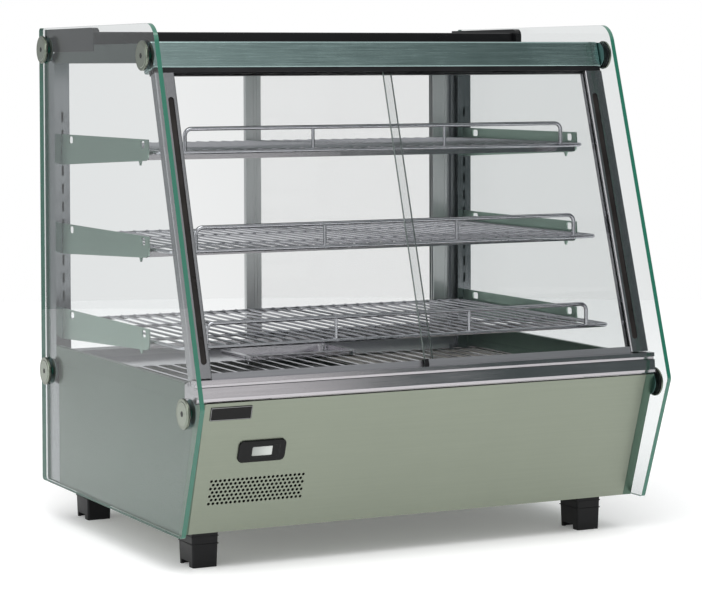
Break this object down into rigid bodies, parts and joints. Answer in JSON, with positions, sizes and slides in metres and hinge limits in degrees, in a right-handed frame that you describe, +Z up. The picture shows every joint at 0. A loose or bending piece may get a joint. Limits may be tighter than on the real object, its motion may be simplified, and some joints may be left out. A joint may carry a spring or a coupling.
{
  "type": "hot food display case",
  "caption": "Countertop heated food display case with angled sliding glass front, glass ends, wire shelves on brackets, and sliding serving doors at the rear.",
  "frame": {"origin": "centre of the footprint on the worktop, midway between front bulge and rear edge of the glass ends", "axes": "+X to the customer's right seen from the front, +Y from the customer side to the serving side, +Z up"},
  "size_m": [0.688, 0.5666, 0.686],
  "materials": {
    "clear_glass": "polished, clear with a green edge",
    "standoff_steel": "brushed",
    "black_plastic": "satin",
    "display_window": "gloss, unlit display",
    "brushed_steel": "brushed",
    "dark_painted_sheet": "satin black",
    "anodised_aluminium": "satin anodised",
    "dark_plastic": "satin",
    "chrome_wire": "polished",
    "screw_steel": "bright",
    "heating_tube": "dull dark oxide",
    "lamp_glass": "frosted"
  },
  "bodies": {
    "chassis": {"air_baffle": "brushed_steel", "base_bottom_pan": "brushed_steel", "base_front_panel": "brushed_steel", "base_rear_panel": "brushed_steel", "base_side_panel_left": "brushed_steel", "base_side_panel_right": "brushed_steel", "blank_name_plate": "black_plastic", "cable_gland": "black_plastic", "control_plate": "brushed_steel", "deck_plate": "brushed_steel", "deck_side_rails": "brushed_steel", "feet": "black_plastic", "front_sill": "brushed_steel", "front_top_rail": "brushed_steel", "front_top_rail_plugs": "brushed_steel", "front_top_rail_seal": "black_plastic", "glass_end_left": "clear_glass", "glass_end_right": "clear_glass", "heater_plate": "dark_painted_sheet", "heating_element": "heating_tube", "lamp_holders": "black_plastic", "lamp_tube": "lamp_glass", "rear_housing": "dark_painted_sheet", "rear_housing_ends": "dark_painted_sheet", "rear_housing_soffit": "brushed_steel", "rear_post_left": "brushed_steel", "rear_post_right": "brushed_steel", "rear_screws": "screw_steel", "rear_track_bottom": "anodised_aluminium", "rear_track_top": "anodised_aluminium", "roof_panel": "brushed_steel", "roof_side_rails": "brushed_steel", "shelf_brackets_left": "brushed_steel", "shelf_brackets_right": "brushed_steel", "shelf_tie_bars": "brushed_steel", "standoff_barrels": "black_plastic", "standoff_bolts": "standoff_steel", "standoff_caps": "standoff_steel", "thermometer_bezel": "black_plastic", "thermometer_display": "display_window"},
    "front_pane_left": {"front_pane_glass_left": "clear_glass", "front_pane_channel_left": "anodised_aluminium", "front_pane_profile_left": "anodised_aluminium", "front_pane_pull_left": "dark_plastic"},
    "front_pane_right": {"front_pane_glass_right": "clear_glass", "front_pane_channel_right": "anodised_aluminium", "front_pane_profile_right": "anodised_aluminium", "front_pane_pull_right": "dark_plastic", "front_pane_stop_right": "black_plastic"},
    "rear_door_left": {"rear_door_frame_left": "anodised_aluminium", "rear_door_glass_left": "clear_glass"},
    "rear_door_right": {"rear_door_frame_right": "anodised_aluminium", "rear_door_glass_right": "clear_glass"},
    "shelf_top": {"shelf_top": "chrome_wire"},
    "shelf_middle": {"shelf_middle": "chrome_wire"},
    "shelf_bottom": {"shelf_bottom": "chrome_wire"},
    "water_pan": {"water_pan": "brushed_steel"},
    "thermostat_knob": {"thermostat_knob": "black_plastic"},
    "power_rocker": {"power_rocker": "black_plastic"},
    "lamp_rocker": {"lamp_rocker": "black_plastic"}
  },
  "joints": [
    {"name": "front_pane_left_slide", "type": "slide", "parent": "chassis", "child": "front_pane_left", "axis": [1, 0, 0], "range_m": [0, 0.289]},
    {"name": "front_pane_right_slide", "type": "slide", "parent": "chassis", "child": "front_pane_right", "axis": [1, 0, 0], "range_m": [-0.289, 0]},
    {"name": "rear_door_left_slide", "type": "slide", "parent": "chassis", "child": "rear_door_left", "axis": [1, 0, 0], "range_m": [-0.275, 0]},
    {"name": "rear_door_right_slide", "type": "slide", "parent": "chassis", "child": "rear_door_right", "axis": [1, 0, 0], "range_m": [-0.279, 0]},
    {"name": "shelf_top_lift", "type": "slide", "parent": "chassis", "child": "shelf_top", "axis": [0, 0, 1], "range_m": [0, 0.02]},
    {"name": "shelf_middle_lift", "type": "slide", "parent": "chassis", "child": "shelf_middle", "axis": [0, 0, 1], "range_m": [0, 0.02]},
    {"name": "shelf_bottom_lift", "type": "slide", "parent": "chassis", "child": "shelf_bottom", "axis": [0, 0, 1], "range_m": [0, 0.02]},
    {"name": "water_pan_lift", "type": "slide", "parent": "chassis", "child": "water_pan", "axis": [0, 0, 1], "range_m": [0, 0.03]},
    {"name": "thermostat_turn", "type": "hinge", "parent": "chassis", "child": "thermostat_knob", "pos_m": [0.17, 0.2722, 0.135], "axis": [0, 1, 0], "range_deg": [0, 270]},
    {"name": "power_rocker_tilt", "type": "hinge", "parent": "chassis", "child": "power_rocker", "pos_m": [0.06, 0.2742, 0.135], "axis": [1, 0, 0], "range_deg": [-9, 0]},
    {"name": "lamp_rocker_tilt", "type": "hinge", "parent": "chassis", "child": "lamp_rocker", "pos_m": [0.105, 0.2742, 0.135], "axis": [1, 0, 0], "range_deg": [-9, 0]}
  ]
}
